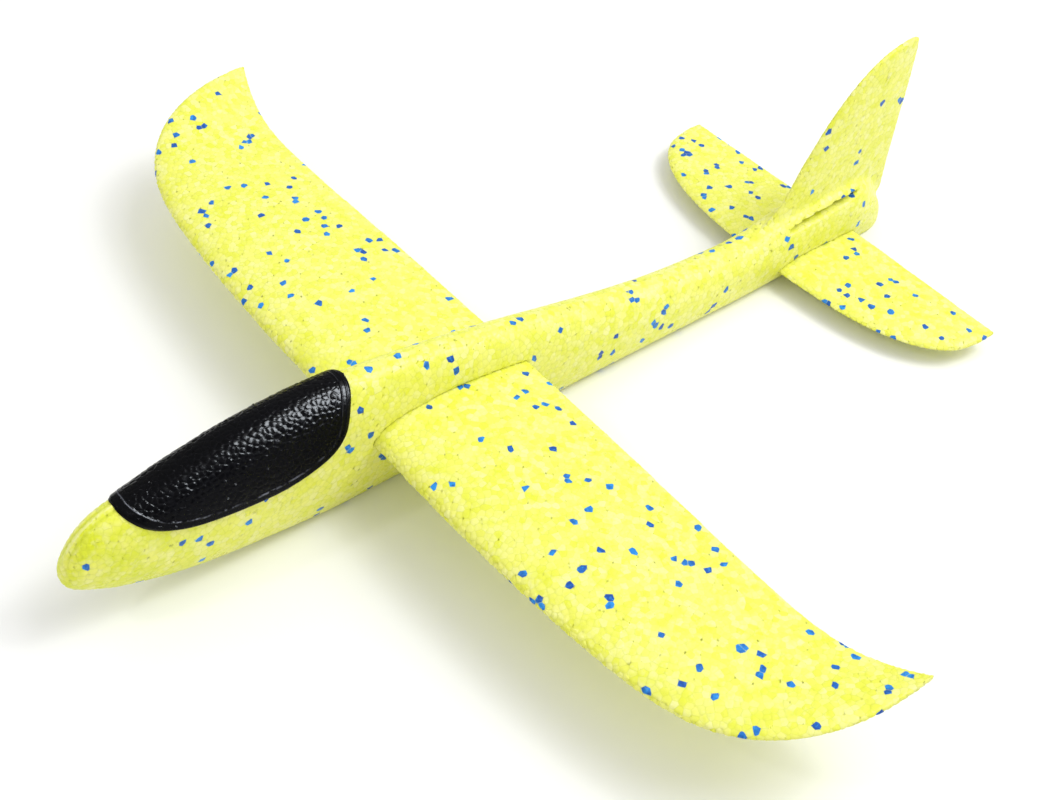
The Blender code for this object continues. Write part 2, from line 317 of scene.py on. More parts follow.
def slot_cutter(name, outline, angle=0.0, pivot=(0.0, 0.0), gap=SLOT_GAP):
    """A prism across the body, round a section grown by the gap."""
    along = np.roll(outline, -1, axis=0) - np.roll(outline, 1, axis=0)
    normal = np.stack([along[:, 1], -along[:, 0]], axis=1)
    normal /= np.linalg.norm(normal, axis=1)[:, None]
    inward = ((outline - outline.mean(axis=0)) * normal).sum(axis=1) < 0
    normal[inward] *= -1
    moved = outline + normal * gap - np.array(pivot)
    turn = np.array([[math.cos(angle), -math.sin(angle)], [math.sin(angle), math.cos(angle)]])
    moved = moved @ turn.T + np.array(pivot)
    rings = [
        np.stack([moved[:, 0], np.full(len(moved), y), moved[:, 1]], axis=1)
        for y in (-CUTTER_REACH, CUTTER_REACH)
    ]
    return loft(name, rings)


def box(name, low, high):
    """A box between two corners."""
    low = np.array(low, float)
    high = np.array(high, float)
    square = [(0, 0), (1, 0), (1, 1), (0, 1)]
    rings = [[(x, y, z) for x, y in square] for z in (0, 1)]
    return loft(name, low + np.array(rings, float) * (high - low))


def drum(name, radius, low, length, x):
    """An upright cylinder on the centre plane."""
    turn = np.arange(48) * (2 * math.pi / 48)
    rings = [
        np.stack([x + radius * np.cos(turn), radius * np.sin(turn), np.full(48, z)], axis=1)
        for z in (low, low + length)
    ]
    return loft(name, rings)


def solid(obj, steps, voxel):
    """The object after its Boolean steps, remeshed to even cells: (points in mm, triangles).

    All helpers are removed."""
    for other, operation in steps:
        modifier = obj.modifiers.new(other.name, "BOOLEAN")
        modifier.operation = operation
        modifier.solver = "EXACT"
        modifier.object = other
    modifier = obj.modifiers.new("even", "REMESH")
    modifier.mode = "VOXEL"
    modifier.voxel_size = voxel * MM
    bpy.context.view_layer.update()
    graph = bpy.context.evaluated_depsgraph_get()
    mesh = obj.evaluated_get(graph).to_mesh()
    mesh.calc_loop_triangles()
    points = np.empty(len(mesh.vertices) * 3, np.float32)
    mesh.vertices.foreach_get("co", points)
    triangles = np.empty(len(mesh.loop_triangles) * 3, np.int32)
    mesh.loop_triangles.foreach_get("vertices", triangles)
    obj.evaluated_get(graph).to_mesh_clear()
    for helper in [obj] + [other for other, _ in steps]:
        bpy.data.objects.remove(helper, do_unlink=True)
    return points.reshape(-1, 3).astype(float) / MM, triangles.reshape(-1, 3)


# ---------------------------------------------------------------- surface helpers


def bell(values, centre, width):
    """1 at the centre, falling smoothly to nothing within a few widths."""
    return np.exp(-(((values - centre) / width) ** 2))


def edges_of(triangles):
    """Each edge once, as a pair of point indices."""
    ends = np.concatenate([triangles[:, [0, 1]], triangles[:, [1, 2]], triangles[:, [2, 0]]])
    return np.unique(np.sort(ends, axis=1), axis=0)


def normals_of(points, triangles):
    """Each point's normal, weighted by the area of its triangles."""
    corners = points[triangles]
    faces = np.cross(corners[:, 1] - corners[:, 0], corners[:, 2] - corners[:, 0])
    result = np.zeros_like(points)
    for k in range(3):
        for axis in range(3):
            result[:, axis] += np.bincount(triangles[:, k], faces[:, axis], minlength=len(points))
    return result / (np.linalg.norm(result, axis=1)[:, None] + 1e-12)


def neighbour_mean(values, edges):
    """The mean of each point's neighbours."""
    total = np.zeros_like(values)
    for axis in range(values.shape[1]):
        total[:, axis] = np.bincount(edges[:, 0], values[edges[:, 1], axis], minlength=len(values))
        total[:, axis] += np.bincount(edges[:, 1], values[edges[:, 0], axis], minlength=len(values))
    count = np.bincount(edges.ravel(), minlength=len(values))
    return total / np.maximum(count, 1)[:, None]


def relax(points, edges, rounds, weight=None):
    """Laplacian smoothing, weighted by point."""
    for _ in range(rounds):
        step = (neighbour_mean(points, edges) - points) * 0.5
        points = points + (step if weight is None else step * weight[:, None])
    return points


def fill_creases(points, triangles, edges, rounds, weight):
    """Rounds out the concave creases, such as between fin and body, but not the convex edges."""
    for _ in range(rounds):
        normals = normals_of(points, triangles)
        step = neighbour_mean(points, edges) - points
        outward = (step * normals).sum(axis=1)
        share = np.clip((outward - 0.015) / 0.05, 0.0, 1.0)
        points = points + step * (share * weight)[:, None]
    return points


# ---------------------------------------------------------------- beads


def bead_centres(points, spacing, rng):
    """Points of the surface, none nearer to another than about the spacing, varied by bead."""
    cells = np.floor(points / spacing / 1.2).astype(int)
    shifts = [(i, j, k) for i in (-1, 0, 1) for j in (-1, 0, 1) for k in (-1, 0, 1)]
    reach = spacing * rng.uniform(0.86, 1.18, len(points))
    taken = {}
    chosen = []
    coordinates = points.tolist()
    keys = [tuple(c) for c in cells.tolist()]
    reach = reach.tolist()
    for index in rng.permutation(len(points)).tolist():
        x, y, z = coordinates[index]
        a, b, c = keys[index]
        limit = reach[index] ** 2
        clear = True
        for i, j, k in shifts:
            for u, v, w in taken.get((a + i, b + j, c + k), ()):
                if (u - x) ** 2 + (v - y) ** 2 + (w - z) ** 2 < limit:
                    clear = False
                    break
            if not clear:
                break
        if clear:
            taken.setdefault((a, b, c), []).append((x, y, z))
            chosen.append(index)
    return points[chosen]


def tree_of(centres):
    """A search tree of the points."""
    tree = kdtree.KDTree(len(centres))
    for index, centre in enumerate(centres.tolist()):
        tree.insert(centre, index)
    tree.balance()
    return tree


def nearest(tree, points, count):
    """For each point, the indices of the nearest ones in the tree, nearest first."""
    found = [[hit[1] for hit in tree.find_n(point, count)] for point in points.tolist()]
    return np.array(found)


def fit_to_borders(points, triangles, normals, centres, near):
    """Moves the points next to a bead's border onto it, so that mesh edges run along borders.

    Returns the new points, and which of them lie on a border, and on three beads' corner."""
    edges = edges_of(triangles)
    own = near[:, 0]
    first, second = own[edges[:, 0]], own[edges[:, 1]]
    crossing = first != second
    edges, first, second = edges[crossing], first[crossing], second[crossing]
    p, q = points[edges[:, 0]], points[edges[:, 1]]
    ca, cb = centres[first], centres[second]
    s0 = ((p - cb) ** 2).sum(axis=1) - ((p - ca) ** 2).sum(axis=1)
    s1 = ((q - cb) ** 2).sum(axis=1) - ((q - ca) ** 2).sum(axis=1)
    t = s0 / np.maximum(s0 - s1, 1e-9)
    start = t < 0.5
    vertex = np.where(start, edges[:, 0], edges[:, 1])
    other = np.where(start, second, first)
    pairs = np.unique(np.stack([vertex, other], axis=1), axis=0)
    gap = ((points[pairs[:, 0]] - centres[pairs[:, 1]]) ** 2).sum(axis=1)
    order = np.lexsort((gap, pairs[:, 0]))
    pairs = pairs[order]
    vertices, at, counts = np.unique(pairs[:, 0], return_index=True, return_counts=True)
    length = np.linalg.norm(p - q, axis=1).mean()

    v = points[vertices]
    n = normals[vertices]
    c0 = centres[own[vertices]]
    c1 = centres[pairs[at, 1]]
    c2 = centres[pairs[np.minimum(at + 1, len(pairs) - 1), 1]]

    def border(c):
        value = ((v - c) ** 2).sum(axis=1) - ((v - c0) ** 2).sum(axis=1)
        slope = 2 * (c0 - c)
        slope = slope - (slope * n).sum(axis=1)[:, None] * n
        return value, slope

    f1, g1 = border(c1)
    f2, g2 = border(c2)
    g11 = (g1 * g1).sum(axis=1) + 1e-9
    g22 = (g2 * g2).sum(axis=1) + 1e-9
    g12 = (g1 * g2).sum(axis=1)
    single = -(f1 / g11)[:, None] * g1
    det = g11 * g22 - g12**2
    good = (counts > 1) & (det > 0.05 * g11 * g22)
    det = np.where(good, det, 1.0)
    alpha = (-f1 * g22 + f2 * g12) / det
    beta = (-f2 * g11 + f1 * g12) / det
    double = alpha[:, None] * g1 + beta[:, None] * g2
    long = np.linalg.norm(double, axis=1) > 0.95 * length
    good &= ~long
    move = np.where(good[:, None], double, single)
    size = np.linalg.norm(move, axis=1)[:, None]
    move *= np.minimum(1.0, 0.75 * length / np.maximum(size, 1e-9))
    result = points.copy()
    result[vertices] += move
    on_border = np.zeros(len(points), bool)
    on_border[vertices] = True
    corner = np.zeros(len(points), bool)
    corner[vertices[good]] = True
    return result, on_border, corner


def border_distance(points, centres, near):
    """How far each point is from the nearest border of its bead."""
    own = centres[near[:, 0]]
    best = np.full(len(points), 9.0)
    for k in range(1, near.shape[1]):
        other = centres[near[:, k]]
        value = ((points - other) ** 2).sum(axis=1) - ((points - own) ** 2).sum(axis=1)
        best = np.minimum(best, value / (2 * np.linalg.norm(other - own, axis=1)))
    return np.maximum(best, 0.0)


def beaded(name, points, triangles, seed, loose, seam=None, blue_share=BLUE_SHARE, depth=None):
    """A foam piece: the surface divided into beads, each domed, tilted a little and toned alone.

    loose(points, normals) is 0 where the mould pressed the beads flat and 1 where they stand
    round. seam(points, normals) gives the parting line's ridge and the dip beside it.
    depth(points) scales the beads' relief."""
    rng = np.random.default_rng(seed)
    edges = edges_of(triangles)
    normals = normals_of(points, triangles)
    centres = bead_centres(points, BEAD_SPACING, rng)
    tree = tree_of(centres)
    near = nearest(tree, points, 4)
    points, on_border, corner = fit_to_borders(points, triangles, normals, centres, near)
    inside = (~on_border).astype(float)
    points = relax(points, edges, 1, inside * 0.6)
    normals = normals_of(points, triangles)

    distance = border_distance(points, centres, near)
    distance[on_border] = 0.0
    own = near[:, 0]
    tilt = rng.normal(0.0, BEAD_TILT, (len(centres), 3))
    swell = rng.uniform(0.6, 1.3, len(centres))
    rise = rng.normal(0.0, BEAD_RISE, len(centres))
    roundness = loose(points, normals)
    dome = 1.0 - (1.0 - np.clip(distance / BEAD_DOME_WIDTH, 0.0, 1.0)) ** 2
    shoulder = np.clip(distance / GROOVE_WIDTH, 0.0, 1.0)
    lean = ((points - centres[own]) * tilt[own]).sum(axis=1) + rise[own]
    depth_of_dome = BEAD_DOME_DEPTH + LOOSE_DOME_DEPTH * roundness
    height = -GROOVE_DEPTH * (1 - shoulder) ** 2 - depth_of_dome * swell[own] * (1 - dome)
    height = height + lean * shoulder
    pit = corner & (rng.random(len(points)) < PIT_SHARE)
    height = height - PIT_DEPTH * pit
    height = np.minimum(height * (1.0 if depth is None else depth(points)), 0.0)
    seam_light_and_shade = np.zeros(len(points))
    if seam is not None:
        line, side = seam(points, normals)
        height = height * (1 - line) + SEAM_HEIGHT * line - SEAM_DIP * side
        distance = np.maximum(distance, 1.2 * line)
        # The ridge minus the dip is kept for the parting line's painted highlight and painted
        # shade.
        seam_light_and_shade = line - side
    final = points + normals * height[:, None]

    obj = foam_mesh(name, final, triangles)
    middle = points[triangles].mean(axis=1)
    label = np.array([tree.find(point)[1] for point in middle.tolist()])
    tone = rng.random(len(centres))
    is_blue = rng.random(len(centres)) < blue_share
    blue = np.where(is_blue, rng.uniform(0.25, 1.0, len(centres)), 0.0)
    blue = spread_blue(blue, centres, tree, rng)
    face_value(obj, "bead_tone", tone[label])
    face_value(obj, "bead_blue", blue[label])
    point_value(obj, "bead_edge", distance)
    point_value(obj, "bead_pit", pit.astype(float))
    point_value(obj, "seam_highlight_and_shade", seam_light_and_shade)
    return obj


def spread_blue(blue, centres, tree, rng):
    """Some blue beads have a blue neighbour."""
    for index in np.flatnonzero(blue).tolist():
        if rng.random() < BLUE_PAIR_SHARE:
            hits = tree.find_n(centres[index].tolist(), 4)
            chosen = hits[1 + int(rng.integers(3))][1]
            blue[chosen] = rng.uniform(0.25, 1.0)
    return blue


def foam_mesh(name, points, triangles):
    """A smooth-shaded mesh object from points in millimetres and triangles."""
    data = bpy.data.meshes.new(name)
    data.vertices.add(len(points))
    data.vertices.foreach_set("co", (points * MM).astype(np.float32).ravel())
    data.loops.add(triangles.size)
    data.loops.foreach_set("vertex_index", triangles.astype(np.int32).ravel())
    data.polygons.add(len(triangles))
    data.polygons.foreach_set("loop_start", np.arange(0, triangles.size, 3, dtype=np.int32))
    data.polygons.foreach_set("use_smooth", np.ones(len(triangles), bool))
    data.update(calc_edges=True)
    data.validate()
    obj = bpy.data.objects.new(name, data)
    bpy.context.scene.collection.objects.link(obj)
    return obj


def face_value(obj, name, values):
    attribute = obj.data.attributes.new(name, "FLOAT", "FACE")
    attribute.data.foreach_set("value", np.asarray(values, np.float32))


def point_value(obj, name, values):
    attribute = obj.data.attributes.new(name, "FLOAT", "POINT")
    attribute.data.foreach_set("value", np.asarray(values, np.float32))


# ---------------------------------------------------------------- the foam pieces


def body_solid():
    """The body with its fin, its three slots and the slug's bore."""
    turn = 2 * math.pi * (np.arange(128) + 0.5) / 128
    rows = smooth_rows(BODY, 220)
    body = loft("body", body_points(rows[:, None, :], turn[None, :]))
    rings = []
    for z, front, back, thickness in smooth_rows(FIN, 70):
        outline = aerofoil(front - back, thickness, FIN_TRAILING_EDGE, 0.5, 64)
        height = np.full(len(outline), z)
        rings.append(np.stack([back + outline[:, 0], outline[:, 1], height], axis=1))
    fin = loft("fin", rings)
    wing_section = section_rings(WING[:1], 1, WING_TRAILING_EDGE, WING_UNDER, 90)[0][:, [0, 2]]
    tail_section = section_rings(TAIL[:1], 1, TAIL_TRAILING_EDGE, TAIL_UNDER, 80)[0][:, [0, 2]]
    spare_row = [(0.0, 0.0, TAIL[0][2] - TAIL[0][1], 0.0, SPARE_SLOT_THICKNESS)]
    spare = section_rings(spare_row, 1, SPARE_SLOT_TRAILING_EDGE, TAIL_UNDER, 80)[0][:, [0, 2]]
    spare = spare + np.array(SPARE_SLOT_LEADING_EDGE) - np.array((spare_row[0][2], 0.0))
    steps = [
        (fin, "UNION"),
        (slot_cutter("wing_slot", wing_section), "DIFFERENCE"),
        (slot_cutter("tail_slot", tail_section), "DIFFERENCE"),
        (
            slot_cutter("spare_slot", spare, -SPARE_SLOT_TILT, SPARE_SLOT_LEADING_EDGE, GAP),
            "DIFFERENCE",
        ),
        (drum("bore", SLUG_RADIUS + GAP, SLUG_BOTTOM_Z - GAP, BORE_DEPTH, SLUG_X), "DIFFERENCE"),
    ]
    return solid(body, steps, BODY_VOXEL)


def wing_solid(side):
    """One wing half with its tongue. The other half's tongue fills the notch."""
    root = np.array([(-TONGUE, *WING[0][1:])])
    rows = np.concatenate([root, smooth_rows(WING, 150)[1:]])
    blank = loft("wing", section_rings(rows, side, WING_TRAILING_EDGE, WING_UNDER, 110))
    if side > 0:
        notch = box("notch", (-20, -30, -20), (TONGUE_SPLIT_X + GAP / 2, TONGUE + GAP, 30))
    else:
        notch = box("notch", (TONGUE_SPLIT_X - GAP / 2, -TONGUE - GAP, -20), (100, 30, 30))
    return solid(blank, [(notch, "DIFFERENCE")], WING_VOXEL)


def tail_solid():
    """The tailplane, tip to tip."""
    rows = smooth_rows(TAIL, 80)
    sections = section_rings(rows[::-1], -1, TAIL_TRAILING_EDGE, TAIL_UNDER, 90)
    sections += section_rings(rows[1:], 1, TAIL_TRAILING_EDGE, TAIL_UNDER, 90)
    return solid(loft("tail", sections), [], TAIL_VOXEL)


def wing_looseness(points, normals):
    """The beads stand rounder along the leading edge and the tip's rim."""
    forward = np.clip((normals[:, 0] - 0.55) / 0.4, 0.0, 1.0)
    outward = np.clip((np.abs(points[:, 1]) - 225.0) / 12.0, 0.0, 1.0)
    rim = np.clip(1.0 - np.abs(normals[:, 2]), 0.0, 1.0)
    return np.clip(0.05 + 0.95 * np.maximum(forward, outward * rim), 0.0, 1.0)


def body_looseness(points, normals):
    """The body's beads stand a little rounder on the nose and along the spine."""
    nose = np.clip((points[:, 0] - 190.0) / 35.0, 0.0, 1.0)
    spine = np.clip((normals[:, 2] - 0.75) / 0.25, 0.0, 1.0)
    return np.clip(0.10 + 0.25 * nose + 0.15 * spine, 0.0, 1.0)


def tail_looseness(points, normals):
    """The beads stand rounder along the tailplane's rim."""
    rim = np.clip(1.0 - np.abs(normals[:, 2]) / 0.8, 0.0, 1.0)
    return np.clip(0.10 + 0.55 * rim, 0.0, 1.0)


def body_depth(points):
    """The beads are pressed flat along the edges of the open slot in the fin's root."""
    x, z = points[:, 0] - DATUM[0], points[:, 2] - DATUM[2]
    front_x, front_z = SPARE_SLOT_LEADING_EDGE
    away = np.abs(z - front_z - (front_x - x) * math.tan(SPARE_SLOT_TILT))
    near = np.clip((5.0 - away) / 2.5, 0.0, 1.0)
    near = near * np.clip((front_x + 5.0 - x) / 3.0, 0.0, 1.0)
    near = near * np.clip((x - front_x + SPARE_SLOT_LENGTH) / 3.0, 0.0, 1.0)
    return 1.0 - 0.85 * near


def body_seam(points, normals):
    """The mould's parting line: a raised line on the centre plane, with a dip on both sides."""
    x, y = points[:, 0], points[:, 1]
    top = np.clip(normals[:, 2] / 0.2, 0.0, 1.0)
    nose = np.clip((x - 208.0) / 5.0, 0.0, 1.0) * np.clip((236.0 - x) / 3.0, 0.0, 1.0)
    spine = np.clip((104.0 - x) / 5.0, 0.0, 1.0) * np.clip((x + 128.0) / 20.0, 0.0, 1.0)
    strength = (nose + SPINE_SEAM_SHARE * spine) * top
    line = bell(y, 0.0, 0.9) * strength
    side = bell(np.abs(y), 2.2, 0.8) * strength
    return line, side


def build_foam():
    """The four foam pieces, by the CAD node that each one replaces."""
    made = {}
    points, triangles = body_solid()
    edges = edges_of(triangles)
    points = relax(points, edges, 1)
    rear = np.clip((-115.0 - points[:, 0]) / 10.0, 0.0, 1.0)
    points = fill_creases(points, triangles, edges, 8, rear)
    made["fuselage"] = beaded(
        "foam_fuselage",
        points,
        triangles,
        SEEDS["fuselage"],
        body_looseness,
        seam=body_seam,
        blue_share=BODY_BLUE_SHARE,
        depth=body_depth,
    )
    for name, side in (("wing_left", 1), ("wing_right", -1)):
        points, triangles = wing_solid(side)
        points = relax(points, edges_of(triangles), 1)
        made[name] = beaded("foam_" + name, points, triangles, SEEDS[name], wing_looseness)
    points, triangles = tail_solid()
    points = relax(points, edges_of(triangles), 1)
    made["tailplane"] = beaded(
        "foam_tailplane",
        points,
        triangles,
        SEEDS["tailplane"],
        tail_looseness,
        blue_share=TAIL_BLUE_SHARE,
    )
    return made


# ---------------------------------------------------------------- cockpit cover


def cover_edge_angles(rows, heights):
    """The angle on each of the body's sections at which it reaches the cover's edge height."""
    low = np.zeros(len(rows))
    high = np.full(len(rows), math.pi / 2)
    for _ in range(50):
        middle = (low + high) / 2
        under = body_points(rows, middle)[:, 2] < heights
        low = np.where(under, middle, low)
        high = np.where(under, high, middle)
    return (low + high) / 2


def cover_rows(steps):
    """The body's rows under the cover, and the cover's edge heights."""
    body_rows = smooth_rows(BODY, 1600)
    table = smooth_rows(COVER_EDGE, steps)
    order = np.argsort(body_rows[:, 0])
    x = body_rows[order, 0]
    columns = [np.interp(table[:, 0], x, body_rows[order, k]) for k in range(1, 5)]
    return np.stack([table[:, 0]] + columns, axis=1), table[:, 1]


def cover_thickness(x):
    """The cover thins smoothly towards its front end."""
    share = np.clip((COVER_EDGE[-1][0] - x) / COVER_TAPER, 0.0, 1.0)
    share = share * share * (3 - 2 * share)
    return COVER_FRONT_THICKNESS + (COVER_THICKNESS - COVER_FRONT_THICKNESS) * share


def cover_shell():
    """The cover as a thin shell: (points, triangles, points on its outer skin, its rim's points).

    The outer skin's points come first."""
    rows, heights = cover_rows(280)
    start = cover_edge_angles(rows, heights)
    ring = 170
    share = np.arange(ring + 1) / ring
    angles = start[:, None] + (math.pi - 2 * start[:, None]) * share[None, :]
    thickness = cover_thickness(rows[:, :1])
    outer = body_points(rows[:, None, :], angles, GAP + thickness) + DATUM
    inner = body_points(rows[:, None, :], angles, GAP) + DATUM
    steps, count = outer.shape[:2]
    grid = np.arange(steps * count).reshape(steps, count)
    a, b, c, d = grid[:-1, :-1], grid[:-1, 1:], grid[1:, 1:], grid[1:, :-1]
    skin = [np.stack(corners, -1).reshape(-1, 3) for corners in ((a, b, c), (a, c, d))]
    skin = np.concatenate(skin)
    rim = np.concatenate([grid[0, :], grid[1:, -1], grid[-1, -2::-1], grid[-2:0:-1, 0]])
    points = np.concatenate([outer.reshape(-1, 3), inner.reshape(-1, 3)])
    offset = steps * count
    after = np.roll(rim, -1)
    wall = np.concatenate([
        np.stack([rim, after, after + offset], axis=1),
        np.stack([rim, after + offset, rim + offset], axis=1),
    ])
    triangles = np.concatenate([skin, skin[:, ::-1] + offset, wall[:, ::-1]])
    first, second, third = points[triangles].transpose(1, 0, 2)
    if np.einsum("ij,ij->", first, np.cross(second, third)) < 0:
        triangles = triangles[:, ::-1]
    return points, triangles, offset, rim


def build_cover():
    """The cover: the beads print through it, and a thin raised line runs inside its edge."""
    points, triangles, offset, rim = cover_shell()
    rng = np.random.default_rng(SEEDS["cover"])
    top = points[:offset]
    centres = bead_centres(top[rng.random(offset) < 0.6], COVER_BEAD_SPACING, rng)
    tree = tree_of(centres)
    near = nearest(tree, top, 4)
    top_triangles = triangles[(triangles < offset).all(axis=1)]
    normals = normals_of(top, top_triangles)
    moved, on_border, _ = fit_to_borders(top, top_triangles, normals, centres, near)
    rim_tree = tree_of(top[rim])
    from_rim = np.array([rim_tree.find(point)[2] for point in top.tolist()])
    free = from_rim > 0.9
    top = np.where(free[:, None], moved, top)
    distance = border_distance(top, centres, near)
    distance[on_border & free] = 0.0
    own = near[:, 0]
    tilt = rng.normal(0.0, COVER_TILT, (len(centres), 3))
    lean = ((top - centres[own]) * tilt[own]).sum(axis=1)
    dome = 1.0 - (1.0 - np.clip(distance / COVER_DOME_WIDTH, 0.0, 1.0)) ** 2
    shoulder = np.clip(distance / COVER_GROOVE_WIDTH, 0.0, 1.0)
    inside = np.clip((from_rim - RIM_LINE - 0.6) / 1.0, 0.0, 1.0)
    print_share = RIM_PRINT_SHARE + (1 - RIM_PRINT_SHARE) * inside
    groove = COVER_DOME_DEPTH * (1 - dome) + COVER_GROOVE_DEPTH * (1 - shoulder)
    height = -groove * print_share + lean * shoulder * print_share
    height += RIM_HEIGHT * bell(from_rim, RIM_LINE, RIM_WIDTH)
    height -= RIM_DIP * bell(from_rim, RIM_LINE + 0.9, 0.45)
    rear = np.clip((130.0 - top[:, 0]) / 12.0, 0.0, 1.0)
    height += REAR_LINE_HEIGHT * rear * bell(from_rim, 2.1, 0.40)
    height -= EDGE_ROUND_DEPTH * np.clip(1.0 - from_rim / EDGE_ROUND_WIDTH, 0.0, 1.0) ** 2
    points[:offset] = top + normals * height[:, None]
    obj = foam_mesh("cockpit_cover", points, triangles)
    edge = np.full(len(points), 2.0)
    edge[:offset] = distance
    point_value(obj, "bead_edge", edge)
    # Where the rim line's painted highlight lies, fading towards the rear.
    rim_highlight = np.zeros(len(points))
    forward = np.clip((top[:, 0] - 118.0) / 40.0, 0.12, 1.0)
    rim_highlight[:offset] = bell(from_rim, RIM_LINE, 0.17) * forward
    point_value(obj, "rim_line", rim_highlight)
    return obj


# ---------------------------------------------------------------- materials


class Nodes:
    """A short way to write a material's nodes."""

    def __init__(self, name):
        self.material = bpy.data.materials.new(name)
        self.material.use_nodes = True
        self.tree = self.material.node_tree
        self.shader = self.tree.nodes["Principled BSDF"]

    def add(self, kind, inputs=(), **settings):
        node = self.tree.nodes.new(kind)
        for key, value in settings.items():
            setattr(node, key, value)
        for key, value in dict(inputs).items():
            self.feed(node, key, value)
        return node

    def feed(self, node, key, value):
        if isinstance(value, bpy.types.NodeSocket):
            self.tree.links.new(value, node.inputs[key])
        elif isinstance(value, bpy.types.Node):
            self.tree.links.new(value.outputs[0], node.inputs[key])
        else:
            node.inputs[key].default_value = value

    def attribute(self, name):
        return self.add("ShaderNodeAttribute", attribute_name=name).outputs["Fac"]

    def math(self, operation, a, b=0.0, clamp=False):
        node = self.add("ShaderNodeMath", operation=operation, use_clamp=clamp)
        self.feed(node, 0, a)
        self.feed(node, 1, b)
        return node.outputs[0]

    def ramp(self, value, low, high, start=0.0, end=1.0):
        inputs = {
            "Value": value,
            "From Min": low,
            "From Max": high,
            "To Min": start,
            "To Max": end,
        }
        return self.add("ShaderNodeMapRange", inputs, clamp=True).outputs[0]

    def mix(self, share, a, b, blend="MIX"):
        node = self.add("ShaderNodeMix", data_type="RGBA", blend_type=blend)
        self.feed(node, 0, share)
        for index, value in ((6, a), (7, b)):
            if isinstance(value, tuple):
                value = (*value, 1.0)
            self.feed(node, index, value)
        return node.outputs[2]

    def noise(self, scale, detail=2.0, rough=0.5, vector=None):
        inputs = {"Scale": scale, "Detail": detail, "Roughness": rough}
        node = self.add("ShaderNodeTexNoise", inputs)
        self.feed(node, "Vector", vector if vector is not None else self.position())
        return node.outputs["Fac"]

    def position(self):
        return self.add("ShaderNodeTexCoord").outputs["Object"]


def foam_material(name):
    """Lemon foam, toned bead by bead, with blue beads and a deeper lime nose. The grooves are
    darker, partly their own tint and partly painted shade; the pits carry painted shade, and the
    parting line a painted highlight with painted shade beside it.
    """
    n = Nodes(name)
    tone = n.attribute("bead_tone")
    blue = n.attribute("bead_blue")
    edge = n.attribute("bead_edge")
    pit = n.attribute("bead_pit")
    cloud = n.noise(22.0, 3.0)
    grain = n.noise(900.0, 3.0, 0.6)
    skin = n.noise(320.0, 2.0, 0.55)

    light = (0.895, 0.890, 0.190)
    deep = (0.790, 0.820, 0.060)
    pale = (0.905, 0.900, 0.390)
    colour = n.mix(tone, deep, light)
    second = n.math("FRACT", n.math("MULTIPLY", tone, 7.31))
    colour = n.mix(n.ramp(second, 0.40, 1.0, 0.0, 0.70), colour, pale)
    colour = n.mix(n.ramp(cloud, 0.35, 0.70, 0.0, 0.30), colour, light)
    patch = n.noise(150.0, 2.0, 0.6)
    colour = n.mix(n.ramp(patch, 0.50, 0.68, 0.0, 0.55), colour, (0.770, 0.820, 0.030))
    place = n.add("ShaderNodeSeparateXYZ", {"Vector": n.position()})
    nose = n.ramp(place.outputs["X"], 0.172, 0.204, 0.0, 1.0)
    lime = n.ramp(n.noise(95.0, 3.0, 0.6), 0.40, 0.58, 0.0, 0.85)
    colour = n.mix(n.math("MULTIPLY", nose, lime), colour, (0.700, 0.770, 0.008))
    colour = n.mix(n.ramp(grain, 0.50, 0.74, 0.0, 0.36), colour, deep)
    colour = n.mix(n.ramp(skin, 0.56, 0.70, 0.0, 0.34), colour, pale)
    # Painted highlight on the parting line's ridge, and painted shade in the dip beside it.
    seam = n.attribute("seam_highlight_and_shade")
    colour = n.mix(n.ramp(seam, 0.50, 0.95, 0.0, 0.80), colour, pale)
    colour = n.mix(n.ramp(seam, -0.15, -0.80, 0.0, 0.70), colour, (0.640, 0.700, 0.020))
    # The grooves between beads are darkened: partly their own darker tint, partly painted shade in
    # the groove.
    groove = n.ramp(edge, 0.03, 0.32, 1.0, 0.0)
    groove = n.math("MULTIPLY", groove, n.ramp(skin, 0.30, 0.62, 0.35, 1.0))
    colour = n.mix(n.math("MULTIPLY", groove, 0.27), colour, (0.480, 0.540, 0.010))
    blue_on = n.math("GREATER_THAN", blue, 0.1)
    blue_tone = n.mix(n.ramp(blue, 0.25, 1.0), (0.000, 0.075, 0.420), (0.012, 0.290, 0.800))
    blue_tone = n.mix(n.ramp(grain, 0.50, 0.68, 0.0, 0.60), blue_tone, (0.025, 0.370, 0.900))
    blue_tone = n.mix(n.ramp(skin, 0.44, 0.62, 0.0, 0.60), blue_tone, (0.000, 0.045, 0.280))
    blue_on = n.math("MULTIPLY", blue_on, n.ramp(edge, 0.0, 0.16, 0.55, 1.0))
    colour = n.mix(blue_on, colour, blue_tone)
    # Painted shade in the pits at the beads' corners.
    colour = n.mix(n.math("MULTIPLY", pit, 0.75), colour, (0.16, 0.18, 0.02))
    n.feed(n.shader, "Base Color", colour)

    rough = n.ramp(n.noise(60.0, 2.0), 0.3, 0.7, 0.24, 0.40)
    rough = n.math("ADD", rough, n.math("MULTIPLY", groove, 0.18), clamp=True)
    n.feed(n.shader, "Roughness", rough)
    n.shader.inputs["Specular IOR Level"].default_value = 0.42
    n.shader.inputs["Subsurface Weight"].default_value = 0.0

    height = n.math("ADD", n.math("MULTIPLY", skin, 0.6), n.math("MULTIPLY", grain, 0.4))
    bump = n.add("ShaderNodeBump", {"Strength": 0.35, "Distance": 0.0002, "Height": height})
    n.feed(n.shader, "Normal", bump.outputs["Normal"])
    return n.material


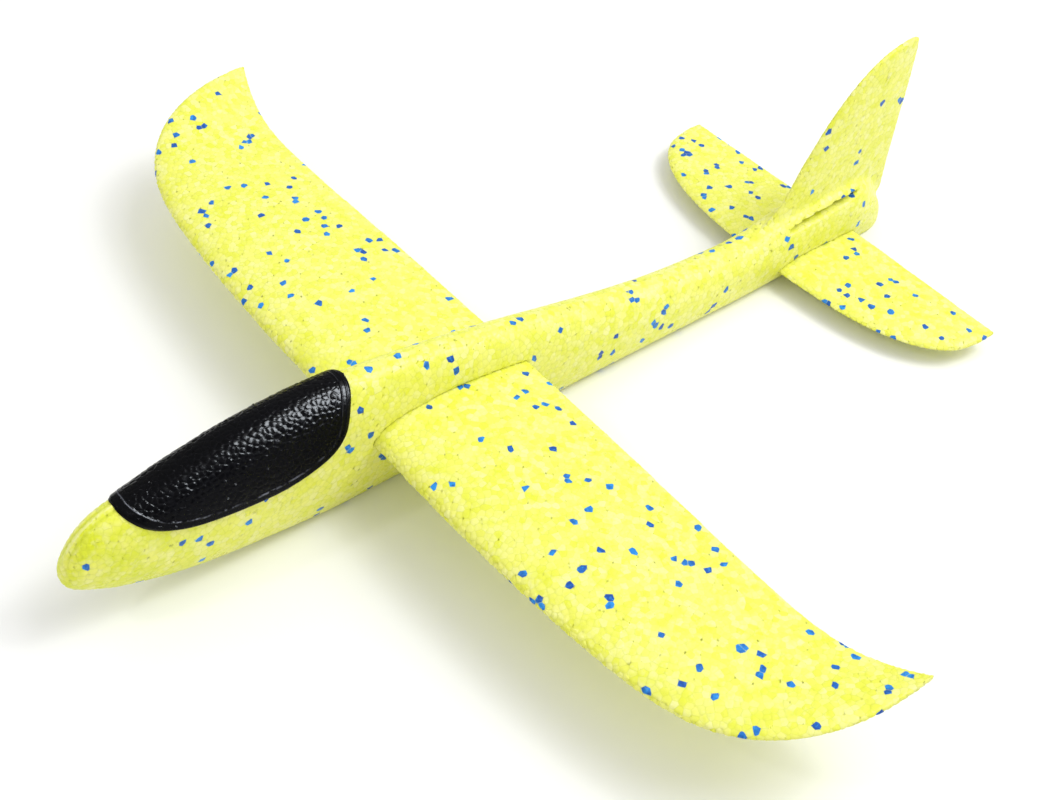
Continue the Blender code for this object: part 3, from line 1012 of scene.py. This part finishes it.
def cover_material():
    """A black glossy skin, a little rougher between the beads, with a painted highlight in dashes
    along the raised line inside its rim.
    """
    n = Nodes("black_cover_skin")
    edge = n.attribute("bead_edge")
    rim = n.attribute("rim_line")
    fine = n.noise(700.0, 3.0, 0.6)
    broad = n.noise(45.0, 2.0)
    colour = n.mix(n.ramp(fine, 0.35, 0.75), (0.0001, 0.0001, 0.0002), (0.0005, 0.0005, 0.0008))
    # Painted highlight along the raised line inside the rim, broken into dashes.
    highlight_dashes = n.ramp(n.noise(260.0, 2.0, 0.6), 0.42, 0.56)
    colour = n.mix(n.math("MULTIPLY", rim, highlight_dashes), colour, (0.050, 0.050, 0.056))
    n.feed(n.shader, "Base Color", colour)
    rough = n.ramp(broad, 0.3, 0.7, 0.15, 0.22)
    rough = n.math("ADD", rough, n.ramp(edge, 0.0, 0.5, 0.12, 0.0), clamp=True)
    n.feed(n.shader, "Roughness", rough)
    n.shader.inputs["Specular IOR Level"].default_value = 0.07
    bump = n.add("ShaderNodeBump", {"Strength": 0.30, "Distance": 0.00015, "Height": fine})
    n.feed(n.shader, "Normal", bump.outputs["Normal"])
    return n.material


def steel_material():
    """Turned steel, with fine rings along its axis."""
    n = Nodes("slug_steel")
    turned = n.add("ShaderNodeMapping", {"Vector": n.position(), "Scale": (40.0, 40.0, 2600.0)})
    lines = n.noise(1.0, 2.0, 0.6, turned.outputs[0])
    colour = n.mix(lines, (0.36, 0.36, 0.38), (0.60, 0.60, 0.62))
    n.feed(n.shader, "Base Color", colour)
    n.shader.inputs["Metallic"].default_value = 1.0
    n.feed(n.shader, "Roughness", n.ramp(lines, 0.3, 0.7, 0.28, 0.5))
    bump = n.add("ShaderNodeBump", {"Strength": 0.2, "Distance": 0.0001, "Height": lines})
    n.feed(n.shader, "Normal", bump.outputs["Normal"])
    return n.material


def floor_material():
    """Plain pale paper."""
    n = Nodes("studio_floor")
    colour = n.mix(n.noise(3.0, 2.0), (0.91, 0.91, 0.91), (0.93, 0.93, 0.93))
    n.feed(n.shader, "Base Color", colour)
    n.shader.inputs["Roughness"].default_value = 0.9
    n.shader.inputs["Specular IOR Level"].default_value = 0.1
    return n.material


# ---------------------------------------------------------------- studio


def build_floor():
    """A wide flat floor, just under the model."""
    half = 3000.0
    corners = [(-half, -half), (half, -half), (half, half), (-half, half)]
    floor = mesh_object("studio_floor", [(x, y, -0.05) for x, y in corners], [(0, 1, 2, 3)])
    floor.data.materials.append(floor_material())


def area_light(name, position, target, size, power, colour=(1.0, 1.0, 1.0)):
    """A rectangular light, aimed at the target."""
    light = bpy.data.lights.new(name, "AREA")
    light.shape = "RECTANGLE"
    light.size, light.size_y = size
    light.energy = power
    light.color = colour
    obj = bpy.data.objects.new(name, light)
    obj.location = position
    direction = Vector(target) - Vector(position)
    obj.rotation_euler = direction.to_track_quat("-Z", "Y").to_euler()
    bpy.context.scene.collection.objects.link(obj)
    return obj


KEY_PLACE = (-1.02, 0.66, 1.80)

# The camera at the photograph's angle. Places are in metres, the lens and sensor in millimetres.
CAMERA_TARGET = (0.011045, 0.005798, 0.005884)
CAMERA_AZIMUTH = math.radians(48.229)
CAMERA_ELEVATION = math.radians(44.693)
CAMERA_ROLL = math.radians(4.649)
CAMERA_DISTANCE = 0.71828
CAMERA_LENS = 52.86857
CAMERA_SENSOR = 36.0


def build_camera():
    """The camera that sees the model as the photograph does."""
    camera = bpy.data.cameras.new("camera")
    camera.sensor_width = CAMERA_SENSOR
    camera.lens = CAMERA_LENS
    camera.clip_start, camera.clip_end = 0.01, 50.0
    obj = bpy.data.objects.new("camera", camera)
    level = math.cos(CAMERA_ELEVATION)
    back = Vector((
        math.cos(CAMERA_AZIMUTH) * level,
        math.sin(CAMERA_AZIMUTH) * level,
        math.sin(CAMERA_ELEVATION),
    ))
    right = Vector((-math.sin(CAMERA_AZIMUTH), math.cos(CAMERA_AZIMUTH), 0.0))
    up = back.cross(right)
    rolled_right = right * math.cos(CAMERA_ROLL) + up * math.sin(CAMERA_ROLL)
    rolled_up = up * math.cos(CAMERA_ROLL) - right * math.sin(CAMERA_ROLL)
    turn = Matrix((rolled_right, rolled_up, back)).transposed()
    place = Matrix.Translation(Vector(CAMERA_TARGET) + back * CAMERA_DISTANCE)
    obj.matrix_world = place @ turn.to_4x4()
    bpy.context.scene.collection.objects.link(obj)
    bpy.context.scene.camera = obj


def build_world():
    """A white surround, dimmer towards the horizon. The camera sees it as one pale tone."""
    world = bpy.data.worlds.new("studio")
    world.use_nodes = True
    nodes, links = world.node_tree.nodes, world.node_tree.links
    background = nodes["Background"]
    background.inputs["Color"].default_value = (1.0, 1.0, 1.0, 1.0)
    direction = nodes.new("ShaderNodeTexCoord")
    parts = nodes.new("ShaderNodeSeparateXYZ")
    rise = nodes.new("ShaderNodeMapRange")
    for key, value in (("From Min", 0.10), ("From Max", 0.60), ("To Min", 0.34), ("To Max", 0.84)):
        rise.inputs[key].default_value = value
    seen = nodes.new("ShaderNodeLightPath")
    strength = nodes.new("ShaderNodeMix")
    strength.inputs["B"].default_value = 0.92
    links.new(direction.outputs["Generated"], parts.inputs["Vector"])
    links.new(parts.outputs["Z"], rise.inputs["Value"])
    links.new(seen.outputs["Is Camera Ray"], strength.inputs["Factor"])
    links.new(rise.outputs["Result"], strength.inputs["A"])
    links.new(strength.outputs["Result"], background.inputs["Strength"])
    bpy.context.scene.world = world


def build_lights(cover):
    """A soft key with a firmer core, a weak front light, and a panel that lights only the cover."""
    area_light("key", KEY_PLACE, (0.0, 0.0, 0.0), (1.4, 1.4), 23.0)
    area_light("key_core", KEY_PLACE, (0.0, 0.0, 0.0), (0.30, 0.30), 4.0, (0.93, 0.96, 1.0))
    panel = area_light(
        "cover_panel",
        (-0.685, 0.917, 0.913),
        (0.14, 0.0, 0.06),
        (0.60, 1.10),
        165.0,
        (0.88, 0.94, 1.0),
    )
    shiny = bpy.data.collections.new("cover_only")
    shiny.objects.link(cover)
    panel.light_linking.receiver_collection = shiny
    area_light("front", (1.28, -0.32, 1.49), (0.20, 0.0, 0.05), (0.14, 0.14), 2.6)


# ---------------------------------------------------------------- put together

RIDES = {
    "fuselage": ("airframe", "foam_body"),
    "wing_left": ("port_wing", "foam_wings"),
    "wing_right": ("starboard_wing", "foam_wings"),
    "tailplane": ("tail", "foam_tailplane"),
}
for node, piece in build_foam().items():
    body, slot = RIDES[node]
    piece.data.materials.append(foam_material("bead_" + node))
    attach(piece, body)
    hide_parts(node)

cover = build_cover()
cover.data.materials.append(cover_material())
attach(cover, "airframe")
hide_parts("canopy_cover")

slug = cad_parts["nose_weight"]
slug.data.materials.clear()
slug.data.materials.append(steel_material())

build_floor()
build_world()
build_lights(cover)
build_camera()
bpy.context.scene.view_settings.view_transform = "Standard"
